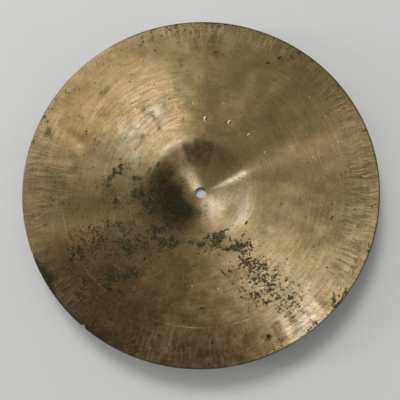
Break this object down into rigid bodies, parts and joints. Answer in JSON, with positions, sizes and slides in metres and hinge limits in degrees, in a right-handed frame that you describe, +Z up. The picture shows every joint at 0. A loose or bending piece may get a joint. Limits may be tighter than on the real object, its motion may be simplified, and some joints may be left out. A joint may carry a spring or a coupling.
{
  "type": "hi-hat cymbal pair",
  "caption": "Two round dished hi-hat cymbals with domed centre bells, laid down nested with the hollow sides up; the upper one lifts off.",
  "frame": {"origin": "centre of the bore at the lowest face of the stack, which is the outside of the bottom cymbal's bell", "axes": "+Z up along the shared axis of both cymbals, out of the hollow sides; +X to the right and +Y away from the viewer of the picture, before a small turn of the camera"},
  "size_m": [0.3556, 0.3556, 0.0377],
  "materials": {
    "lower_bronze": "turned and hammered bronze, dulled with age",
    "upper_bronze": "turned and hammered bronze, brown patina with green corrosion spots"
  },
  "bodies": {
    "bottom": {"bottom_cymbal": "lower_bronze"},
    "top": {"top_cymbal": "upper_bronze"}
  },
  "joints": [
    {"name": "top_lift", "type": "slide", "parent": "bottom", "child": "top", "axis": [0, 0, 1], "range_m": [0, 0.06]}
  ]
}
